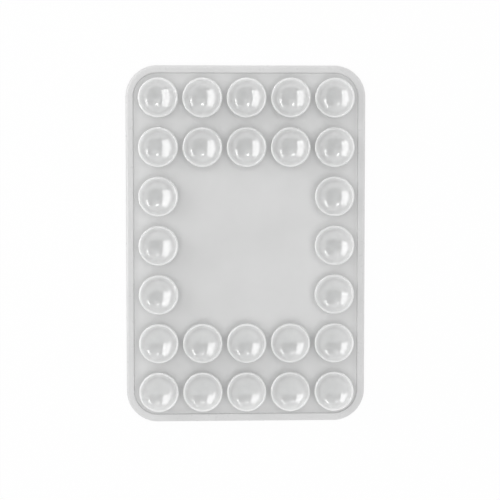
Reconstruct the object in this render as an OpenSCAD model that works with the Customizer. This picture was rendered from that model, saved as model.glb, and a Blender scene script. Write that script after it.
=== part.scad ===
// Suction cup phone holder: a shallow tray that sticks to the back of a phone,
// a soft mat bonded into it, and a field of small suction cups round a plain panel.
// It lies on its back with the cups up. The origin is under its middle, X runs
// across the width, Y along the length and Z out through the cups.

/* [Tray] */
// Width of the tray
plate_w = 57; // [48:1:75]
// Length of the tray
plate_l = 85; // [72:1:110]
// Corner radius of the tray, seen from above
corner_r = 7.5; // [5.5:0.5:10]
// Width of the raised rim
rim_w = 1.8; // [1.2:0.1:2.4]
// Height of the rim above the mat
rim_proud = 0.5; // [0.2:0.1:1]
// Thickness of the floor that carries the mat
floor_t = 1.2; // [0.9:0.1:2]
// Rounding of the rim's outer top edge
rim_round = 0.6; // [0.3:0.1:0.8]

/* [Mat] */
// Thickness of the mat's sheet
mat_t = 1.2; // [0.8:0.1:2]
// Gap all round the mat in its tray
seat_gap = 0.05; // [0.05:0.05:0.3]
// Rounding of the mat's top edge
mat_round = 0.1; // [0.1:0.05:0.4]

/* [Layout of the cups] */
// Cups across the width
columns = 5; // [4:1:6]
// Cups along the length
rows = 7; // [6:1:8]
// Full rows of cups at each end
band_rows = 2; // [1:1:2]
// Cups on each side of the plain panel
band_columns = 1; // [1:1:2]
// Smallest gap between two lips
cup_gap = 1; // [0.6:0.05:2]
// Gap between the outer lips and the rim
edge_gap = 1.2; // [0.6:0.05:2.2]

/* [Suction cup] */
// Depth of the bowl under the lip
bowl_depth = 2.3; // [1.6:0.1:2.8]
// Thickness of the wall at the lip
lip_t = 0.6; // [0.3:0.05:0.75]
// Thickness of the wall at the middle of the bowl
core_t = 0.9; // [0.6:0.1:1.4]
// Diameter of the neck that carries the cup
neck_d = 4.2; // [3:0.1:5.1]
// Fillet between the neck and the mat
root_r = 0.45; // [0.2:0.05:0.6]
// Distance that the bell gives when it is pressed on glass
press_travel = 1.5; // [0.8:0.1:2]
// Room left under a bell that is fully pressed
press_room = 0.5; // [0.4:0.1:1]

/* [Adhesive] */
// Thickness of the foam pad
pad_t = 1; // [0.6:0.1:1.6]
// Depth of the pocket under the tray that the pad sits in
pocket_t = 0.4; // [0.2:0.1:0.5]
// Distance from the tray's edge to the foam pad
pad_inset = 3.5; // [3:0.1:5]
// Gap all round the pad in its pocket
pad_gap = 0.2; // [0.1:0.05:0.4]
// Thickness of the release liner
liner_t = 0.15; // [0.1:0.05:0.3]
// Overhang of the liner past the pad
liner_over = 0.5; // [0.2:0.1:0.8]
// Width of the liner's pull tab
tab_w = 14; // [8:1:24]
// Length of the pull tab past the liner's end
tab_l = 1.8; // [1:0.1:2]

/* [Hidden] */
// Running clearance between a neck and the bell that slides on it
slide_gap = 0.05;
// Rounding of the tray's bottom edge and of the rim's inner edge
base_round = 0.4;
inner_round = 0.2;
// Steps of a small round and of a bowl's arc, and facets of a full turn
round_steps = 4;
arc_steps = 9;
$fn = 64;

// Levels, from the surface that the liner lies on
pad_z = liner_t;
tray_z = pad_z + pad_t - pocket_t;
mat_z = tray_z + floor_t;
mat_top = mat_z + mat_t;
rim_top = mat_top + rim_proud;

// Field of cups inside the rim
field_w = plate_w - 2 * rim_w;
field_l = plate_l - 2 * rim_w;
lip_d_across = (field_w - 2 * edge_gap - (columns - 1) * cup_gap) / columns;
lip_d_along = (field_l - 2 * edge_gap - (rows - 1) * cup_gap) / rows;
lip_r = min(lip_d_across, lip_d_along) / 2;
pitch_x = (field_w - 2 * edge_gap - 2 * lip_r) / (columns - 1);
pitch_y = (field_l - 2 * edge_gap - 2 * lip_r) / (rows - 1);

// Radius of the ball whose cap has this half width and height
function cap_ball(half, height) = (half * half + height * height) / (2 * height);

// Bowl and outside of the bell: caps of two balls on the cup's axis, below the lip
neck_r = neck_d / 2;
bore_r = neck_r + slide_gap;
bowl_r = cap_ball(lip_r - lip_t, bowl_depth - lip_t / 2);
bowl_cz = bowl_r - bowl_depth;
bell_depth = bowl_depth + core_t;
bell_r = cap_ball(lip_r, bell_depth - lip_t / 2);
bell_cz = bell_r - bell_depth;
bowl_edge = atan2(-lip_t / 2 - bowl_cz, lip_r - lip_t);
bell_edge = atan2(-lip_t / 2 - bell_cz, lip_r);
bell_drop = sqrt(bell_r * bell_r - bore_r * bore_r) - bell_cz;
lip_z = mat_top + bell_drop + press_travel + press_room;

// Every cup as its row from the top end and its column from the left
CUPS = [
    for (row = [1:rows]) for (column = [1:columns])
        if (row <= band_rows || row > rows - band_rows
            || column <= band_columns || column > columns - band_columns)
            [row, column]
];
function cup_name(cup) = str("suction_cup_r", cup[0], "c", cup[1]);
function cup_place(cup) = [
    (cup[1] - (columns + 1) / 2) * pitch_x,
    ((rows + 1) / 2 - cup[0]) * pitch_y
];

// Points of an arc about a centre, both ends included
function arc(centre, radius, from, to, steps) = [
    for (i = [0:steps])
        let (angle = from + (to - from) * i / steps)
            centre + radius * [cos(angle), sin(angle)]
];

// A run of points without its two ends, for a round between other points
function inner(points) = [for (i = [1:len(points) - 2]) points[i]];

// Angle below level at which a ball's meridian lies this far from the axis
function meridian(ball, distance) = -acos(distance / ball);

// A slab with round corners whose edge has a moulded section. The section runs from the
// corner's axis, at 0, out to the corner radius: it is swept along the sides and turned
// round the corners, and the middle is filled to the same two levels.
module moulded_slab(width, length, radius, section, bottom, top) {
    half_w = width / 2 - radius;
    half_l = length / 2 - radius;
    for (side = [0, 1]) rotate(180 * side) {
        translate([half_w, half_l]) rotate_extrude(angle = 90) polygon(section);
        translate([-half_w, half_l]) rotate(90) rotate_extrude(angle = 90) polygon(section);
        translate([half_w, half_l]) rotate([90, 0, 0])
            linear_extrude(2 * half_l) polygon(section);
        translate([-half_w, half_l]) rotate([90, 0, 90])
            linear_extrude(2 * half_w) polygon(section);
    }
    translate([-half_w, -half_l, bottom]) cube([2 * half_w, 2 * half_l, top - bottom]);
}

// Plain section of a slab between two levels
function plain_section(radius, bottom, top) =
    [[0, bottom], [radius, bottom], [radius, top], [0, top]];

// Section of the tray: floor, soft bottom edge, outer wall and the rim with its two rounds
tray_section = concat(
    [[0, tray_z]],
    arc([corner_r - base_round, tray_z + base_round], base_round, -90, 0, round_steps),
    arc([corner_r - rim_round, rim_top - rim_round], rim_round, 0, 90, round_steps),
    arc([corner_r - rim_w + inner_round, rim_top - inner_round],
        inner_round, 90, 180, round_steps),
    [[corner_r - rim_w, mat_z], [0, mat_z]]
);

module tray() {
    pocket_r = corner_r - pad_inset + pad_gap;
    color("gainsboro") difference() {
        moulded_slab(plate_w, plate_l, corner_r, tray_section, tray_z, mat_z);
        moulded_slab(plate_w - 2 * pad_inset + 2 * pad_gap,
            plate_l - 2 * pad_inset + 2 * pad_gap, pocket_r,
            plain_section(pocket_r, pad_z, tray_z + pocket_t), pad_z, tray_z + pocket_t);
    }
}

// Section of the mat's sheet, with its top edge rounded
mat_r = corner_r - rim_w - seat_gap;
mat_section = concat(
    [[0, mat_z], [mat_r, mat_z]],
    arc([mat_r - mat_round, mat_top - mat_round], mat_round, 0, 90, round_steps),
    [[0, mat_top]]
);

// Neck of a cup: flared root, straight shaft and a dished end that closes the bowl
module neck() {
    dish_z = lip_z + bowl_cz;
    shaft_angle = meridian(bowl_r, neck_r);
    rotate_extrude() polygon(concat(
        [[0, mat_z + mat_t / 2], [neck_r + root_r, mat_z + mat_t / 2]],
        arc([neck_r + root_r, mat_top + root_r], root_r, -90, -180, round_steps),
        arc([0, dish_z], bowl_r, shaft_angle, -90, round_steps)
    ));
}

// The mat is one moulding: the sheet, plain in the middle, with a neck for every cup
module cup_mat() {
    color("lightgray") {
        moulded_slab(field_w - 2 * seat_gap, field_l - 2 * seat_gap, mat_r,
            mat_section, mat_z, mat_top);
        for (cup = CUPS) translate(cup_place(cup)) neck();
    }
}

// Bell of a cup: a bowl with a thin round lip, bored to slide on its neck
module suction_cup(cup) {
    lip_centre = [lip_r - lip_t / 2, -lip_t / 2];
    color("whitesmoke") translate(concat(cup_place(cup), lip_z))
        rotate_extrude() polygon(concat(
            arc([0, bowl_cz], bowl_r, meridian(bowl_r, bore_r), bowl_edge, arc_steps),
            inner(arc(lip_centre, lip_t / 2, 180, 0, 2 * round_steps)),
            arc([0, bell_cz], bell_r, bell_edge, meridian(bell_r, bore_r), arc_steps)
        ));
}

// Foam pad with glue on both faces, seated in the pocket under the tray
module adhesive_pad() {
    pad_r = corner_r - pad_inset;
    color("white")
        moulded_slab(plate_w - 2 * pad_inset, plate_l - 2 * pad_inset, pad_r,
            plain_section(pad_r, pad_z, pad_z + pad_t), pad_z, pad_z + pad_t);
}

// Paper that covers the glue, with a half-round pull tab at the lower end
module release_liner() {
    liner_r = corner_r - pad_inset + liner_over;
    end_y = plate_l / 2 - pad_inset + liner_over;
    tab_r = cap_ball(tab_w / 2, tab_l);
    color("cornsilk") {
        moulded_slab(plate_w - 2 * (pad_inset - liner_over), 2 * end_y, liner_r,
            plain_section(liner_r, 0, liner_t), 0, liner_t);
        intersection() {
            translate([0, tab_r - end_y - tab_l]) cylinder(h = liner_t, r = tab_r);
            translate([-tab_w / 2, -end_y - tab_l]) cube([tab_w, 2 * tab_l, liner_t]);
        }
    }
}

tray();
cup_mat();
adhesive_pad();
release_liner();
for (cup = CUPS) suction_cup(cup);
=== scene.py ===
"""Looks of a stick-on suction cup phone holder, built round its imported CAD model.

The part lies on its back on a white table and is seen from straight above. All
lengths are in metres, in the model's own frame: X across, Y along, Z up through
the cups. The script is laid out as an add-on, so each group of pieces has its
sizes, its operator and its place in the sidebar.
"""
import math

import bpy
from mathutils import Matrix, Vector


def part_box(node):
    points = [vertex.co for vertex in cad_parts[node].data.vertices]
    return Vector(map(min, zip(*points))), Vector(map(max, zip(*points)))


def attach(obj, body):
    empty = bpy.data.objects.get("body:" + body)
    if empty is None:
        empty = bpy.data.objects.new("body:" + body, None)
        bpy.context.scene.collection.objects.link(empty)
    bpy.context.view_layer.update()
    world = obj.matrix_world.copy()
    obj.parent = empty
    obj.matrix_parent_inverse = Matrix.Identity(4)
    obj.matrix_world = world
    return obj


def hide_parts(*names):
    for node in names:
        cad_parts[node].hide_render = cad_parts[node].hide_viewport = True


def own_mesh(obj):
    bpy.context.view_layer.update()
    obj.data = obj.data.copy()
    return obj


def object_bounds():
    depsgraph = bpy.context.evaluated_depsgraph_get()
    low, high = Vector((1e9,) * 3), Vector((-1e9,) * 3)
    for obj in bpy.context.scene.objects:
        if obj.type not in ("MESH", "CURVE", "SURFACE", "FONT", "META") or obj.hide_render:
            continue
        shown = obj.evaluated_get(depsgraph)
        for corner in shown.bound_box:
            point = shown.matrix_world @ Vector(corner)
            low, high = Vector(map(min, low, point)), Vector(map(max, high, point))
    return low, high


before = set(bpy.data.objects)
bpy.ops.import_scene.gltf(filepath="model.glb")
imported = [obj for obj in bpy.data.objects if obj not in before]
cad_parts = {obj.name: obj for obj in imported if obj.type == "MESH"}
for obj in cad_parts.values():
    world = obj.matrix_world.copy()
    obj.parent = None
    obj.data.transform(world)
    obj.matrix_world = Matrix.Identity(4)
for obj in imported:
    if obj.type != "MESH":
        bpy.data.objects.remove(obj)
cad_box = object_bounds()

bl_info = {
    "name": "Suction Cup Phone Holder",
    "version": (1, 0, 0),
    "blender": (4, 5, 0),
    "location": "View3D > Sidebar > Holder",
    "description": "Builds the looks of a stick-on suction cup phone holder",
    "category": "Object",
}

MM = 0.001
CUP_PREFIX = "suction_cup_"
# What a point of a surface belongs to, each from 0 to 1: a cup's lip, a cup's bowl, a slab's edge;
# the lip's and the edge's shares also steer painted glow and shade
SHARES = ("lip_share", "bowl_share", "edge_share")
# Facets round a slab's four corners, and the longest stretch of a slab's section
SLAB_FACETS = 96
LONGEST = 0.6 * MM
FOAM_LONGEST = 0.5 * MM
# Points nearer than this are one, and edges sharper than this stay sharp
MERGE = 0.002 * MM
SHARP = math.radians(35)


# Sizes and colours

def size(name, description, value):
    """A length that a user may change."""
    return bpy.props.FloatProperty(
        name=name, description=description, default=value, min=0, unit="LENGTH", precision=5
    )


def colour(name, description, value):
    """A colour that a user may change, as light reflected."""
    return bpy.props.FloatVectorProperty(
        name=name, description=description, default=value, min=0, max=1, subtype="COLOR"
    )


class TraySizes(bpy.types.PropertyGroup):
    """Sizes of the moulded tray."""
    corner_radius: size("Corner radius", "Radius of the corners, seen from above", 7.5 * MM)
    rim_width: size("Rim width", "Width of the raised rim", 1.8 * MM)
    rim_height: size("Rim height", "Height of the rim above the mat", 0.5 * MM)
    rim_round: size("Rim rounding", "Rounding of the rim's outer top edge", 0.6 * MM)
    inner_round: size("Inner rounding", "Rounding of the rim's inner top edge", 0.25 * MM)
    base_round: size("Base rounding", "Rounding of the bottom edge", 0.4 * MM)
    mat_thickness: size("Mat thickness", "Thickness of the sheet bonded into the tray", 1.2 * MM)
    pocket_depth: size("Pocket depth", "Depth of the pocket that the foam sits in", 0.4 * MM)
    pocket_corner: size("Pocket corner", "Rounding of the pocket's inner corner", 0.05 * MM)
    pocket_edge: size("Pocket edge", "Rounding of the pocket's open edge", 0.1 * MM)
    pad_inset: size("Pad inset", "Distance from the tray's edge to the foam", 3.5 * MM)
    pad_gap: size("Pad gap", "Gap round the foam in its pocket", 0.2 * MM)


class MatSizes(bpy.types.PropertyGroup):
    """Sizes of the mat's sheet."""
    edge_fillet: size("Edge fillet", "Fillet where the sheet runs up the rim", 0.22 * MM)
    # The darker band along the rim is painted shade where the mat meets the raised rim
    painted_shade_width: size("Bond width", "Darker band along the rim, where it is glued", 0.7 * MM)
    painted_shade_fade: size("Bond fade", "Width over which that band fades out", 1 * MM)


class CupSizes(bpy.types.PropertyGroup):
    """Sizes of one suction cup."""
    bowl_depth: size("Bowl depth", "Depth of the bowl under the lip", 2.3 * MM)
    lip_thickness: size("Lip thickness", "Thickness of the wall at the lip", 0.6 * MM)
    lip_round: size("Lip rounding", "Rounding of the lip's two edges", 0.22 * MM)
    core_thickness: size("Core thickness", "Thickness of the wall under the bowl", 0.9 * MM)
    neck_diameter: size("Neck diameter", "Diameter of the neck", 4.2 * MM)
    root_fillet: size("Root fillet", "Fillet between the neck and the mat", 0.45 * MM)
    root_sink: size("Root sink", "Depth of the root under the mat's face", 0.05 * MM)
    bell_fillet: size("Bell fillet", "Fillet between the neck and the bell", 0.5 * MM)
    unevenness: size("Unevenness", "How far the soft surface strays from its form", 0.012 * MM)
    patch: size("Patch", "Width of one stray of the surface", 3.5 * MM)
    facets: bpy.props.IntProperty(
        name="Facets", description="Facets round a cup", default=72, min=16, max=128
    )


class FoamSizes(bpy.types.PropertyGroup):
    """Sizes of the foam pad's edge."""
    nip: size("Nip", "Rounding where the foam was cut", 0.06 * MM)
    waist: size("Waist", "How far the cut side pulls in", 0.1 * MM)
    waist_radius: size("Waist radius", "Radius of the side's hollow", 2 * MM)
    unevenness: size("Unevenness", "How far the foam strays from its form", 0.01 * MM)
    patch: size("Patch", "Width of one stray of the surface", 2 * MM)


class HolderFinishes(bpy.types.PropertyGroup):
    """Colours of the materials."""
    tray: colour("Tray", "Satin tray", (0.658, 0.658, 0.658))
    mat: colour("Mat", "Silicone sheet", (0.66, 0.661, 0.66))
    cup: colour("Cup", "Milky silicone of the cups", (0.675, 0.68, 0.678))
    foam: colour("Foam", "Closed-cell foam of the pad", (0.83, 0.83, 0.815))
    liner: colour("Liner", "Siliconised paper of the liner", (0.84, 0.77, 0.62))


class StudioSettings(bpy.types.PropertyGroup):
    """Light, table and camera."""
    table_size: size("Table size", "Width of the white table", 3.0)
    table_drop: size("Table drop", "Gap between the table and the holder's back", 0.02 * MM)
    camera_place: bpy.props.FloatVectorProperty(
        name="Camera place", description="Place of the camera over the table",
        default=(-17.5 * MM, 26.5 * MM, 400 * MM), subtype="XYZ", unit="LENGTH",
    )
    camera_turn: bpy.props.FloatVectorProperty(
        name="Camera turn", description="Turn of the camera from looking straight down",
        default=(math.radians(-4.01), math.radians(-2.67), 0), subtype="EULER",
    )
    lens: bpy.props.FloatProperty(
        name="Lens", description="Focal length on a 36 mm sensor", default=120.07, min=20
    )
    ambient: bpy.props.FloatProperty(
        name="Ambient", description="Strength of the light from above", default=0.42, min=0
    )
    horizon: bpy.props.FloatProperty(
        name="Horizon", description="Strength of the light near the horizon", default=0.6, min=0
    )


def settings(group):
    """One group of sizes or colours, as it is set in the scene."""
    return getattr(bpy.context.scene, "holder_" + group)


# Shapes

def arc(centre, radius, start, end, steps):
    """Points (r, z) of an arc, both ends included; angles in degrees."""
    angles = [math.radians(start + (end - start) * i / steps) for i in range(steps + 1)]
    return [(centre[0] + radius * math.cos(a), centre[1] + radius * math.sin(a)) for a in angles]


def spread(points, longest):
    """The same run of points with long stretches divided, so that shading stays even."""
    out = [points[0]]
    for (r0, z0), (r1, z1) in zip(points, points[1:]):
        parts = max(1, math.ceil(math.hypot(r1 - r0, z1 - z0) / longest))
        out += [(r0 + (r1 - r0) * i / parts, z0 + (z1 - z0) * i / parts)
                for i in range(1, parts + 1)]
    return out


def section_mesh(name, points, **shares):
    """A run of points as a mesh of loose edges in the XZ plane, with each point's shares."""
    mesh = bpy.data.meshes.new(name)
    mesh.from_pydata(
        [(r, 0, z) for r, z in points], [(i, i + 1) for i in range(len(points) - 1)], []
    )
    for kind in SHARES:
        attribute = mesh.attributes.new(kind, "FLOAT", "POINT")
        attribute.data.foreach_set("value", shares.get(kind, [0.0] * len(points)))
    return mesh


def clamped(value):
    """The value, kept from 0 to 1."""
    return max(0.0, min(1.0, value))


def cap_ball(half, height):
    """Radius of the ball whose cap has this half width and height."""
    return (half * half + height * height) / (2 * height)


class Tree:
    """Shorthand for building one node tree."""

    def __init__(self, tree):
        self.tree = tree

    def node(self, kind, inputs=None, **options):
        made = self.tree.nodes.new(kind)
        for key, value in options.items():
            setattr(made, key, value)
        for key, value in (inputs or {}).items():
            socket = made.inputs[key]
            if isinstance(value, bpy.types.NodeSocket):
                self.tree.links.new(value, socket)
            else:
                socket.default_value = value
        return made

    def math(self, operation, a, b=0.0, clamp=False):
        return self.node(
            "ShaderNodeMath", {0: a, 1: b}, operation=operation, use_clamp=clamp
        ).outputs[0]


def turned_tree():
    """A geometry tree that turns a section round a vertical axis, pulls its quarters apart into a
    round-cornered slab where it is told to, and lets a soft surface stray a little from its form."""
    group = bpy.data.node_groups.new("Turned section", "GeometryNodeTree")
    sockets = group.interface
    sockets.new_socket("Section", in_out="INPUT", socket_type="NodeSocketGeometry")
    for name, kind, value in (
        ("Facets", "NodeSocketInt", 64),
        ("Half Width", "NodeSocketFloat", 0.0),
        ("Half Length", "NodeSocketFloat", 0.0),
        ("Bottom", "NodeSocketFloat", 0.0),
        ("Top", "NodeSocketFloat", 0.0),
        ("Place", "NodeSocketVector", (0, 0, 0)),
        ("Unevenness", "NodeSocketFloat", 0.0),
        ("Patch", "NodeSocketFloat", 0.003),
        ("Seed", "NodeSocketInt", 1),
        ("Finish", "NodeSocketMaterial", None),
    ):
        socket = sockets.new_socket(name, in_out="INPUT", socket_type=kind)
        if value is not None:
            socket.default_value = value
    sockets.new_socket("Piece", in_out="OUTPUT", socket_type="NodeSocketGeometry")

    # A grid with a row of points for each facet's edge, and a column for each point of the section
    t = Tree(group)
    given = t.node("NodeGroupInput").outputs
    count = t.node(
        "GeometryNodeAttributeDomainSize", {"Geometry": given["Section"]}, component="MESH"
    ).outputs["Point Count"]
    rows = t.math("ADD", given["Facets"], 1)
    grid = t.node("GeometryNodeMeshGrid", {
        "Size X": 1.0, "Size Y": 1.0, "Vertices X": count, "Vertices Y": rows,
    }).outputs["Mesh"]
    index = t.node("GeometryNodeInputIndex").outputs[0]
    along = t.math("FLOOR", t.math("DIVIDE", t.math("ADD", index, 0.5), rows))
    around = t.math("SUBTRACT", index, t.math("MULTIPLY", along, rows))
    turn = t.math("DIVIDE", t.math("ADD", around, 0.5), given["Facets"])
    angle = t.math("MULTIPLY", turn, math.tau)
    cosine, sine = t.math("COSINE", angle), t.math("SINE", angle)

    point = t.node("GeometryNodeSampleIndex", {
        "Geometry": given["Section"], "Index": along,
        "Value": t.node("GeometryNodeInputPosition").outputs[0],
    }, data_type="FLOAT_VECTOR", domain="POINT").outputs["Value"]
    shares = {
        kind: t.node("GeometryNodeSampleIndex", {
            "Geometry": given["Section"], "Index": along,
            "Value": t.node(
                "GeometryNodeInputNamedAttribute", {"Name": kind}, data_type="FLOAT"
            ).outputs["Attribute"],
        }, data_type="FLOAT", domain="POINT").outputs["Value"]
        for kind in SHARES
    }
    radial = t.node("ShaderNodeSeparateXYZ", {0: point}).outputs
    x = t.math("ADD", t.math("MULTIPLY", radial["X"], cosine),
               t.math("MULTIPLY", given["Half Width"], t.math("SIGN", cosine)))
    y = t.math("ADD", t.math("MULTIPLY", radial["X"], sine),
               t.math("MULTIPLY", given["Half Length"], t.math("SIGN", sine)))
    spun = t.node("GeometryNodeSetPosition", {
        "Geometry": grid,
        "Position": t.node(
            "ShaderNodeCombineXYZ", {"X": x, "Y": y, "Z": radial["Z"]}
        ).outputs[0],
    }).outputs[0]
    spun = t.node("GeometryNodeFlipFaces", {0: spun}).outputs[0]
    for kind, share in shares.items():
        spun = t.node("GeometryNodeStoreNamedAttribute", {
            "Geometry": spun, "Name": kind, "Value": share,
        }, data_type="FLOAT", domain="POINT").outputs[0]

    # The flat middle between the quarters, once at each level
    caps = []
    for level, turned in ((given["Top"], False), (given["Bottom"], True)):
        flat = t.node("GeometryNodeMeshGrid", {
            "Size X": t.math("MULTIPLY", given["Half Width"], 2),
            "Size Y": t.math("MULTIPLY", given["Half Length"], 2),
            "Vertices X": 2, "Vertices Y": 2,
        }).outputs["Mesh"]
        if turned:
            flat = t.node("GeometryNodeFlipFaces", {0: flat}).outputs[0]
        caps.append(t.node("GeometryNodeTransform", {
            "Geometry": flat,
            "Translation": t.node("ShaderNodeCombineXYZ", {"Z": level}).outputs[0],
        }).outputs[0])
    joined = t.node("GeometryNodeJoinGeometry")
    for piece in (spun, *caps):
        t.tree.links.new(piece, joined.inputs[0])
    apart = t.math("GREATER_THAN", given["Half Width"], 0)
    shape = t.node("GeometryNodeSwitch", {
        "Switch": apart, "False": spun, "True": joined.outputs[0],
    }, input_type="GEOMETRY").outputs[0]
    shape = t.node("GeometryNodeMergeByDistance", {
        "Geometry": shape, "Distance": MERGE,
    }).outputs[0]

    # A soft moulding's surface strays a little, by a noise of its own for each piece
    noise = t.node("ShaderNodeTexNoise", {
        "Vector": t.node("GeometryNodeInputPosition").outputs[0],
        "W": given["Seed"],
        "Scale": t.math("DIVIDE", 1, given["Patch"]),
        "Detail": 1.5, "Roughness": 0.5,
    }, noise_dimensions="4D").outputs[0]
    stray = t.math("MULTIPLY", t.math("MULTIPLY", t.math("SUBTRACT", noise, 0.5), 2),
                   given["Unevenness"])
    moved = t.node("ShaderNodeVectorMath", {
        0: t.node("GeometryNodeInputNormal").outputs[0], "Scale": stray,
    }, operation="SCALE").outputs[0]
    shape = t.node("GeometryNodeSetPosition", {"Geometry": shape, "Offset": moved}).outputs[0]
    shape = t.node("GeometryNodeTransform", {
        "Geometry": shape, "Translation": given["Place"],
    }).outputs[0]

    bend = t.node("GeometryNodeInputMeshEdgeAngle").outputs["Unsigned Angle"]
    soft = t.math("LESS_THAN", bend, SHARP)
    shape = t.node("GeometryNodeSetShadeSmooth", {
        0: shape, "Shade Smooth": True}, domain="FACE").outputs[0]
    shape = t.node("GeometryNodeSetShadeSmooth", {
        0: shape, "Shade Smooth": soft}, domain="EDGE").outputs[0]
    shape = t.node("GeometryNodeRealizeInstances", {"Geometry": shape}).outputs[0]
    shape = t.node("GeometryNodeSetMaterial", {
        "Geometry": shape, "Material": given["Finish"],
    }).outputs[0]
    t.tree.links.new(shape, t.node("NodeGroupOutput").inputs[0])
    return group


def turned_piece(name, section, finish, **inputs):
    """One piece made by the turned tree from its section, as a plain mesh."""
    tree = bpy.data.node_groups.get("Turned section") or turned_tree()
    base = bpy.data.objects.new(name, section)
    bpy.context.scene.collection.objects.link(base)
    modifier = base.modifiers.new("Turned", "NODES")
    modifier.node_group = tree
    named = {s.name: s.identifier for s in tree.interface.items_tree
             if s.item_type == "SOCKET" and s.in_out == "INPUT"}
    modifier[named["Finish"]] = finish
    for key, value in inputs.items():
        modifier[named[key.replace("_", " ").title()]] = value
    bpy.context.view_layer.update()
    shown = base.evaluated_get(bpy.context.evaluated_depsgraph_get())
    mesh = bpy.data.meshes.new_from_object(shown)
    mesh.name = name
    if not mesh.polygons:
        raise RuntimeError(f"{name} came out with no faces")
    bpy.data.objects.remove(base)
    piece = bpy.data.objects.new(name, mesh)
    bpy.context.scene.collection.objects.link(piece)
    return piece


# Materials

def principled(name, **inputs):
    """A new material with its shader's own sockets set."""
    material = bpy.data.materials.new(name)
    material.use_nodes = True
    shader = material.node_tree.nodes["Principled BSDF"]
    for key, value in inputs.items():
        socket = shader.inputs[key.replace("_", " ")]
        socket.default_value = (*value, 1) if key.endswith("Color") else value
    return material, Tree(material.node_tree), shader


def in_object(t):
    """Places in the holder's own frame, in metres."""
    return t.node("ShaderNodeTexCoord").outputs["Object"]


def share_of(t, kind):
    """The share that the surface holds under one of the names in SHARES."""
    return t.node("ShaderNodeAttribute", attribute_name=kind).outputs["Fac"]


def noise_of(t, vector, per_mm, detail=2.0, roughness=0.5, **more):
    """A noise from 0 to 1 with so many waves to a millimetre."""
    return t.node("ShaderNodeTexNoise", {
        "Vector": vector, "Scale": per_mm / MM, "Detail": detail, "Roughness": roughness, **more,
    }).outputs["Fac"]


def ranged(t, value, low, high, start, end):
    """A value that runs from low to high while the given one goes from start to end."""
    return t.node("ShaderNodeMapRange", {
        "Value": value, "From Min": start, "From Max": end, "To Min": low, "To Max": high,
    }).outputs["Result"]


def varied(t, noise, low, high, margin=0.3):
    """A noise's middle values, without a margin at each end, spread from low to high."""
    return ranged(t, noise, low, high, margin, 1 - margin)


def shaded(t, shader, tone, low, high, value):
    """Sets the base colour for random mottle and for painted light: the tone's value runs from low
    to high times the colour.
    """
    out = t.node("ShaderNodeMix", {
        0: value, 6: (*[c * low for c in tone], 1), 7: (*[min(1, c * high) for c in tone], 1),
    }, data_type="RGBA").outputs[2]
    t.tree.links.new(out, shader.inputs["Base Color"])


def bumped(t, shader, height, distance):
    """Raises the surface by a height from 0 to 1 times the distance."""
    bump = t.node("ShaderNodeBump", {
        "Height": height, "Distance": distance, "Strength": 1.0,
    }).outputs[0]
    t.tree.links.new(bump, shader.inputs["Normal"])


def roughened(t, shader, rough):
    """Gives the surface a roughness that varies over it."""
    t.tree.links.new(rough, shader.inputs["Roughness"])


def silicone_milky():
    """Milky silicone: polished in the bowl, satin outside, with random mottle and painted glow at
    the lip.
    """
    tone = tuple(settings("finishes").cup)
    material, t, shader = principled(
        "Milky silicone", Base_Color=tone, IOR=1.6, Roughness=0.1, Transmission_Weight=0.1,
        Subsurface_Weight=0.8, Subsurface_Scale=2.5 * MM, Subsurface_Radius=(1, 1, 1),
        Coat_Weight=1.0, Coat_Roughness=0.03, Coat_IOR=1.7,
    )
    place = in_object(t)
    lip, bowl = share_of(t, "lip_share"), share_of(t, "bowl_share")
    cloud = noise_of(t, place, 0.45, 3)
    # Random mottle, plus painted glow at the lip that stands in for light coming through the thin
    # wall
    mottle_and_painted_glow = t.math("ADD", varied(t, cloud, 0, 0.2), t.math("MULTIPLY", lip, 0.8))
    shaded(t, shader, tone, 0.985, 1.3, mottle_and_painted_glow)
    # Satin outside the bowl, and less clear at the lip
    satin = t.math("MULTIPLY", t.math("SUBTRACT", 1, bowl), 0.3)
    roughened(t, shader, t.math("ADD", varied(t, cloud, 0.03, 0.06), satin, clamp=True))
    clear = t.math("SUBTRACT", 0.12, t.math("MULTIPLY", lip, 0.08))
    t.tree.links.new(clear, shader.inputs["Transmission Weight"])
    bumped(t, shader, noise_of(t, place, 1.1, 1), 0.004 * MM)
    return material


def silicone_sheet():
    """Satin silicone of the mat: almost even, with painted shade in a band along the rim, and a fine
    grain.
    """
    tone = tuple(settings("finishes").mat)
    material, t, shader = principled(
        "Satin silicone sheet", Base_Color=tone, IOR=1.41, Roughness=0.45,
    )
    place = in_object(t)
    cloud = varied(t, noise_of(t, place, 0.08, 3), 0.5, 1)
    # Painted shade: a darker band along the rim
    painted_shade_band = t.math("MULTIPLY", share_of(t, "edge_share"), 0.5)
    shaded(t, shader, tone, 0.91, 1.03, t.math("SUBTRACT", cloud, painted_shade_band))
    roughened(t, shader, varied(t, noise_of(t, place, 0.6), 0.4, 0.52))
    bumped(t, shader, noise_of(t, place, 7, 3, 0.6), 0.004 * MM)
    return material


def tray_satin():
    """Satin moulded tray, a touch harder than the mat, with painted light that makes its outer
    rounding paler.
    """
    tone = tuple(settings("finishes").tray)
    material, t, shader = principled(
        "Satin tray", Base_Color=tone, IOR=1.5, Roughness=0.3,
    )
    place = in_object(t)
    cloud = varied(t, noise_of(t, place, 0.12, 3), 0, 0.2)
    # Painted light: the rim's outer rounding is made paler
    thin = t.math("MULTIPLY", share_of(t, "edge_share"), 0.8)
    shaded(t, shader, tone, 0.98, 1.25, t.math("ADD", cloud, thin))
    roughened(t, shader, varied(t, noise_of(t, place, 0.9), 0.26, 0.36))
    bumped(t, shader, noise_of(t, place, 4), 0.003 * MM)
    return material


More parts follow.
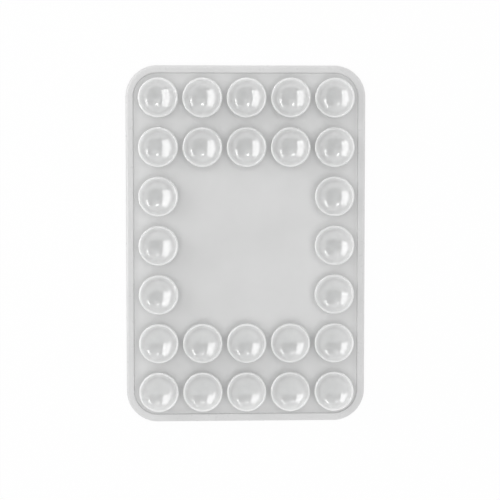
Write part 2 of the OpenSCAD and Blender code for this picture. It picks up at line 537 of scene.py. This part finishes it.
def foam_cells():
    """Closed-cell foam: soft white with fine pores."""
    tone = tuple(settings("finishes").foam)
    material, t, shader = principled("Foam", Base_Color=tone, IOR=1.4, Roughness=0.9)
    place = in_object(t)
    pores = t.node("ShaderNodeTexVoronoi", {
        "Vector": place, "Scale": 5 / MM, "Randomness": 1.0,
    }, feature="F1").outputs["Distance"]
    # Painted shade: the pores are darker where they sink in
    shaded(t, shader, tone, 0.8, 1.04, ranged(t, pores, 0, 1, 0.05, 0.6))
    bumped(t, shader, pores, 0.05 * MM)
    return material


def liner_paper():
    """Cream paper with a thin silicone gloss and faint fibres."""
    tone = tuple(settings("finishes").liner)
    material, t, shader = principled(
        "Liner paper", Base_Color=tone, IOR=1.45, Roughness=0.5, Coat_Weight=0.15,
        Coat_Roughness=0.3,
    )
    place = in_object(t)
    longer = t.node("ShaderNodeMapping", {"Vector": place, "Scale": (1.0, 0.22, 1.0)}).outputs[0]
    fibres = noise_of(t, longer, 2.5, 4, 0.65, Distortion=0.6)
    cloud = noise_of(t, place, 0.15, 3)
    both = t.math("ADD", t.math("MULTIPLY", fibres, 0.7), t.math("MULTIPLY", cloud, 0.3))
    shaded(t, shader, tone, 0.93, 1.05, varied(t, both, 0, 1, margin=0.35))
    roughened(t, shader, varied(t, fibres, 0.42, 0.6, margin=0.35))
    bumped(t, shader, fibres, 0.012 * MM)
    return material


def give(node, material):
    """Puts a material on a CAD node that stays in view."""
    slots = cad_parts[node].data.materials
    slots.clear()
    slots.append(material)


# Levels and sections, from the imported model

def corner_axes():
    """Half the width and length between the corners' axes, which every slab shares."""
    low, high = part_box("tray")
    radius = settings("tray").corner_radius
    return (high.x - low.x) / 2 - radius, (high.y - low.y) / 2 - radius


def mat_top():
    """Level of the mat's face."""
    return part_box("tray")[1].z - settings("tray").rim_height


def slab(name, section, finish, bottom, top, shares=None, **more):
    """A round-cornered slab with a section for its edge, and its flat middle at two levels."""
    half_width, half_length = corner_axes()
    return turned_piece(
        name, section_mesh(name, section, **(shares or {})), finish, facets=SLAB_FACETS,
        half_width=half_width, half_length=half_length, bottom=bottom, top=top, **more,
    )


class HOLDER_OT_tray(bpy.types.Operator):
    """Moulded tray: floor with a pocket under it, wall and rounded rim"""
    bl_idname = "holder.tray"
    bl_label = "Make Tray"

    def execute(self, context):
        s = settings("tray")
        low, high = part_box("tray")
        edge = s.corner_radius
        floor = mat_top() - s.mat_thickness
        ceiling = low.z + s.pocket_depth
        pocket = edge - s.pad_inset + s.pad_gap
        section = [(0, ceiling)]
        section += arc((pocket - s.pocket_corner, ceiling - s.pocket_corner),
                       s.pocket_corner, 90, 0, 2)
        section += arc((pocket + s.pocket_edge, low.z + s.pocket_edge),
                       s.pocket_edge, 180, 270, 4)
        section += arc((edge - s.base_round, low.z + s.base_round), s.base_round, -90, 0, 8)
        section += arc((edge - s.rim_round, high.z - s.rim_round), s.rim_round, 0, 90, 12)
        section += arc((edge - s.rim_width + s.inner_round, high.z - s.inner_round),
                       s.inner_round, 90, 180, 6)
        section += [(edge - s.rim_width, floor), (0, floor)]
        section = spread(section, LONGEST)
        # The round of the rim, which is made paler as painted light
        round_r, round_z = edge - s.rim_round, high.z - s.rim_round
        thin = [clamped((r - round_r) / s.rim_round) if z > round_z else 0.0 for r, z in section]
        tray = slab("tray_moulding", section, tray_satin(), ceiling, floor, {"edge_share": thin})
        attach(tray, "plate")
        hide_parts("tray")
        return {"FINISHED"}


class HOLDER_OT_mat(bpy.types.Operator):
    """Silicone sheet bonded into the tray"""
    bl_idname = "holder.mat"
    bl_label = "Make Mat"

    def execute(self, context):
        tray, s = settings("tray"), settings("mat")
        top = mat_top()
        bottom = top - tray.mat_thickness
        edge = tray.corner_radius - tray.rim_width
        section = [(0, bottom), (edge, bottom)]
        section += arc((edge - s.edge_fillet, top + s.edge_fillet), s.edge_fillet, 0, -90, 6)
        section += [(0, top)]
        section = spread(section, LONGEST)
        # The mat's painted shade: a darker band along the rim
        inside = edge - s.painted_shade_width - s.painted_shade_fade
        painted_shade_band = [clamped((r - inside) / s.painted_shade_fade) for r, z in section]
        mat = slab("mat_sheet", section, silicone_sheet(), bottom, top, {"edge_share": painted_shade_band})
        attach(mat, "plate")
        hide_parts("cup_mat")
        return {"FINISHED"}


# Points of a cup's section over which its lip's share fades out and its bowl's share fades in
LIP_FADE = 6
BOWL_FADE = 2


def cup_section(lip_radius, root_z):
    """Points (r, z) of a cup from its root to the middle of its bowl, with z from the lip's top,
    and each point's shares of lip and bowl."""
    s = settings("cup")
    half_lip = s.lip_thickness / 2
    neck = s.neck_diameter / 2
    depth = s.bowl_depth + s.core_thickness
    bowl = cap_ball(lip_radius - s.lip_thickness, s.bowl_depth - half_lip)
    bell = cap_ball(lip_radius, depth - half_lip)
    bowl_z, bell_z = bowl - s.bowl_depth, bell - depth
    # The lip's inner round runs out of its flat top and into the bowl's ball
    soft = s.lip_round
    inner_r = math.sqrt((bowl + soft) ** 2 - (soft + bowl_z) ** 2)
    dip = math.degrees(math.atan2(-soft - bowl_z, inner_r))
    fillet_r = neck + s.bell_fillet
    fillet_z = bell_z - math.sqrt((bell + s.bell_fillet) ** 2 - fillet_r ** 2)
    meet = math.degrees(math.atan2(bell_z - fillet_z, -fillet_r))
    start = math.degrees(math.atan2(fillet_z - bell_z, fillet_r))
    bell_edge = math.degrees(math.atan2(-half_lip - bell_z, lip_radius))
    # Up from the root: its fillet, the fillet under the bell, the bell, the lip and the bowl
    root_r = neck + s.root_fillet
    points = [(0, root_z - s.root_sink), (root_r, root_z - s.root_sink)]
    points += arc((root_r, root_z + s.root_fillet), s.root_fillet, 270, 180, 6)
    points += arc((fillet_r, fillet_z), s.bell_fillet, 180, meet, 5)
    points += arc((0, bell_z), bell, start, bell_edge, 14)[1:-1]
    points += arc((lip_radius - soft, -soft), soft, 0, 90, 6)
    points += arc((inner_r, -soft), soft, 90, 180 + dip, 5)
    lip_end = len(points) - 1
    points += arc((0, bowl_z), bowl, dip, -90, 24)[1:]
    points[-1] = (0, points[-1][1])
    # The lip's share fades out over some points of the bowl, and the bowl's begins just before
    past_lip = [i - lip_end for i in range(len(points))]
    return points, {
        "lip_share": [clamped(1 - past / LIP_FADE) for past in past_lip],
        "bowl_share": [clamped((past + 1) / BOWL_FADE) for past in past_lip],
    }


class HOLDER_OT_cups(bpy.types.Operator):
    """Suction cups, each one soft moulding from its root in the mat to its lip"""
    bl_idname = "holder.cups"
    bl_label = "Make Suction Cups"

    def execute(self, context):
        s = settings("cup")
        finish = silicone_milky()
        root = mat_top()
        for number, node in enumerate(sorted(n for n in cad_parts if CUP_PREFIX in n)):
            low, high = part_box(node)
            middle = (low + high) / 2
            points, shares = cup_section((high.x - low.x) / 2, root - high.z)
            body = node.replace(CUP_PREFIX, "cup_")
            cup = turned_piece(
                "silicone_" + body, section_mesh(node + "_section", points, **shares), finish,
                facets=s.facets, place=(middle.x, middle.y, high.z),
                unevenness=s.unevenness, patch=s.patch, seed=number + 1,
            )
            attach(cup, body)
            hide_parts(node)
            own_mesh(cup)
        return {"FINISHED"}


class HOLDER_OT_back(bpy.types.Operator):
    """Foam pad in the tray's pocket, and the paper liner under it"""
    bl_idname = "holder.back"
    bl_label = "Make Foam Pad and Liner"

    def execute(self, context):
        tray, s = settings("tray"), settings("foam")
        low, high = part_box("adhesive_pad")
        edge = tray.corner_radius - tray.pad_inset
        hollow = (edge - s.waist + s.waist_radius, (low.z + high.z) / 2)
        section = [(0, low.z)]
        section += arc((edge - s.nip, low.z + s.nip), s.nip, -90, 0, 3)
        section += arc(hollow, s.waist_radius, 184, 176, 4)
        section += arc((edge - s.nip, high.z - s.nip), s.nip, 0, 90, 3)
        section += [(0, high.z)]
        pad = slab("foam_pad", spread(section, FOAM_LONGEST), foam_cells(), low.z, high.z,
                   unevenness=s.unevenness, patch=s.patch, seed=3)
        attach(pad, "plate")
        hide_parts("adhesive_pad")
        give("release_liner", liner_paper())
        return {"FINISHED"}


# Stage

# How white the table shows, the rest taking shadow, and how much of it other surfaces get back
TABLE_SHOWN = 0.95
TABLE_BOUNCE = 0.5
# Surfaces nearer to the table than this get an even light from it, so the back's gap isn't black
TABLE_NEAR = 2.5 * MM
# Height at which the room's light has gone from the horizon's level to the one from above
HORIZON_TOP = 0.35


def direct_ray(t, path):
    """1 for what the camera sees, straight or in a polished or clear surface."""
    seen = t.math("MAXIMUM", path["Is Camera Ray"], path["Is Glossy Ray"])
    return t.math("MAXIMUM", seen, path["Is Transmission Ray"])


def table_white():
    """White table: pure white to the camera but for a faint share of shadow, and open from below."""
    material = bpy.data.materials.new("White table")
    material.use_nodes = True
    material.cycles.emission_sampling = "NONE"
    t = Tree(material.node_tree)
    material.node_tree.nodes.clear()
    matt = t.node("ShaderNodeBsdfDiffuse", {"Color": (0.92, 0.92, 0.92, 1)}).outputs[0]
    glow = t.node("ShaderNodeEmission", {"Color": (1, 1, 1, 1), "Strength": 1.0}).outputs[0]
    near = t.node("ShaderNodeEmission", {"Color": (0.8, 0.8, 0.8, 1)}).outputs[0]
    clear = t.node("ShaderNodeBsdfTransparent").outputs[0]
    path = t.node("ShaderNodeLightPath").outputs
    close = t.math("MULTIPLY", path["Is Diffuse Ray"],
                   t.math("LESS_THAN", path["Ray Length"], TABLE_NEAR))
    seen = t.math("MULTIPLY", direct_ray(t, path), TABLE_SHOWN)
    bounce = t.math("MULTIPLY", path["Is Diffuse Ray"], TABLE_BOUNCE)
    seen = t.math("ADD", seen, bounce, clamp=True)
    shown = t.node("ShaderNodeMixShader", {0: seen, 1: matt, 2: glow}).outputs[0]
    shown = t.node("ShaderNodeMixShader", {0: close, 1: shown, 2: near}).outputs[0]
    behind = t.node("ShaderNodeNewGeometry").outputs["Backfacing"]
    shown = t.node("ShaderNodeMixShader", {0: behind, 1: shown, 2: clear}).outputs[0]
    t.tree.links.new(shown, t.node("ShaderNodeOutputMaterial").inputs["Surface"])
    return material


def room_light(strength, horizon):
    """Soft light from all round, stronger near the horizon, that shows as white."""
    world = bpy.data.worlds.new("Room")
    bpy.context.scene.world = world
    world.use_nodes = True
    t = Tree(world.node_tree)
    world.node_tree.nodes.clear()
    seen = direct_ray(t, t.node("ShaderNodeLightPath").outputs)
    way = t.node("ShaderNodeTexCoord").outputs["Generated"]
    height = t.node("ShaderNodeSeparateXYZ", {0: way}).outputs["Z"]
    level = ranged(t, height, horizon, strength, 0.0, HORIZON_TOP)
    even = t.node("ShaderNodeBackground", {"Color": (1, 1, 1, 1), "Strength": level}).outputs[0]
    white = t.node("ShaderNodeBackground", {"Color": (1, 1, 1, 1), "Strength": 1.0}).outputs[0]
    both = t.node("ShaderNodeMixShader", {0: seen, 1: even, 2: white}).outputs[0]
    t.tree.links.new(both, t.node("ShaderNodeOutputWorld").inputs["Surface"])


def softbox(name, place, width, height, level):
    """A rectangular lamp that faces the holder and that neither the camera nor a polished surface
    sees. Level is the brightness of its face."""
    lamp = bpy.data.lights.new(name, "AREA")
    lamp.shape = "RECTANGLE"
    lamp.size, lamp.size_y = width, height
    lamp.energy = level * math.pi * width * height
    made = bpy.data.objects.new(name, lamp)
    made.location = place
    made.rotation_mode = "QUATERNION"
    made.rotation_quaternion = Vector(place).to_track_quat("Z", "Y")
    made.visible_camera = made.visible_glossy = False
    bpy.context.scene.collection.objects.link(made)


def shine_card(name, corners, level):
    """A bright card round the object that shows in polished surfaces only and lights nothing."""
    material = bpy.data.materials.new(name)
    material.use_nodes = True
    material.cycles.emission_sampling = "NONE"
    t = Tree(material.node_tree)
    material.node_tree.nodes.clear()
    glow = t.node("ShaderNodeEmission", {"Color": (1, 1, 1, 1), "Strength": level}).outputs[0]
    t.tree.links.new(glow, t.node("ShaderNodeOutputMaterial").inputs["Surface"])
    mesh = bpy.data.meshes.new(name)
    mesh.from_pydata([[v * MM for v in c] for c in corners], [], [(0, 1, 2, 3)])
    mesh.materials.append(material)
    card = bpy.data.objects.new(name, mesh)
    card.visible_camera = card.visible_diffuse = card.visible_shadow = False
    card.visible_transmission = False
    bpy.context.scene.collection.objects.link(card)


# Lamps over the holder: name, place, width and length in metres, brightness
LAMPS = (
    ("key_softbox", (-0.3, 0.13, 0.26), 0.2, 0.28, 1.45),
    ("overhead_softbox", (0, 0, 0.55), 0.4, 0.4, 3.3),
)
# Cards round the holder: name, four corners in millimetres, brightness
CARDS = (
    ("ceiling", ((-2000, -2000, 700), (2000, -2000, 700), (2000, 2000, 700), (-2000, 2000, 700)),
     0.42),
    ("left_window", ((-77, -70, 138), (-77, 160, 138), (-140, 160, 56), (-140, -70, 56)), 3.3),
    ("right_strip", ((129, 50, 62), (129, 160, 62), (129, 160, 98), (129, 50, 98)), 3.8),
    ("top_lamp", ((-24, 86, 103), (2, 96, 103), (4, 116, 103), (-24, 116, 103)), 6.0),
    ("lamp_shade", ((-42, 48, 104), (32, 48, 104), (32, 132, 104), (-42, 132, 104)), 1.05),
    ("lower_wall", ((-70, -27, 48), (150, -27, 48), (150, -70, 0), (-70, -70, 0)), 1.15),
    ("left_wall", ((-150, -160, 0), (-150, 170, 0), (-150, 170, 42), (-150, -160, 42)), 1.4),
    ("right_wall", ((140, -160, 0), (140, 170, 0), (140, 170, 120), (140, -160, 120)), 1.1),
    ("upper_wall", ((-150, 170, 0), (140, 170, 0), (140, 170, 150), (-150, 170, 150)), 1.2),
)


class HOLDER_OT_stage(bpy.types.Operator):
    """White table, soft lamps and the camera"""
    bl_idname = "holder.stage"
    bl_label = "Set Stage"

    def execute(self, context):
        s = settings("studio")
        half = s.table_size / 2
        level = cad_box[0].z - s.table_drop
        mesh = bpy.data.meshes.new("table")
        mesh.from_pydata(
            [(-half, -half, level), (half, -half, level), (half, half, level),
             (-half, half, level)], [], [(0, 1, 2, 3)],
        )
        table = bpy.data.objects.new("table", mesh)
        mesh.materials.append(table_white())
        context.scene.collection.objects.link(table)

        room_light(s.ambient, s.horizon)
        for lamp in LAMPS:
            softbox(*lamp)
        for card in CARDS:
            shine_card(*card)

        camera = bpy.data.cameras.new("camera")
        camera.lens, camera.sensor_width = s.lens, 36
        camera.clip_start, camera.clip_end = 0.01, 20
        made = bpy.data.objects.new("camera", camera)
        made.location = s.camera_place
        made.rotation_euler = s.camera_turn
        context.scene.collection.objects.link(made)
        context.scene.camera = made
        context.scene.view_settings.view_transform = "Standard"
        return {"FINISHED"}


class HOLDER_PT_panel(bpy.types.Panel):
    """The holder's pieces and sizes"""
    bl_idname = "HOLDER_PT_panel"
    bl_label = "Suction Cup Phone Holder"
    bl_space_type = "VIEW_3D"
    bl_region_type = "UI"
    bl_category = "Holder"

    def draw(self, context):
        for operator in OPERATORS:
            self.layout.operator(operator.bl_idname)
        for group, sizes in GROUPS.items():
            box = self.layout.box()
            box.label(text=group.title())
            for name in sizes.__annotations__:
                box.prop(settings(group), name)


GROUPS = {
    "tray": TraySizes, "mat": MatSizes, "cup": CupSizes, "foam": FoamSizes,
    "finishes": HolderFinishes, "studio": StudioSettings,
}
OPERATORS = (HOLDER_OT_tray, HOLDER_OT_mat, HOLDER_OT_cups, HOLDER_OT_back, HOLDER_OT_stage)


def register():
    for made in (*GROUPS.values(), *OPERATORS, HOLDER_PT_panel):
        bpy.utils.register_class(made)
    for group, sizes in GROUPS.items():
        setattr(bpy.types.Scene, "holder_" + group, bpy.props.PointerProperty(type=sizes))


def unregister():
    for group in GROUPS:
        delattr(bpy.types.Scene, "holder_" + group)
    for made in reversed((*GROUPS.values(), *OPERATORS, HOLDER_PT_panel)):
        bpy.utils.unregister_class(made)


def main():
    register()
    for operator in OPERATORS:
        module, name = operator.bl_idname.split(".")
        getattr(getattr(bpy.ops, module), name)()


if __name__ == "__main__":
    main()
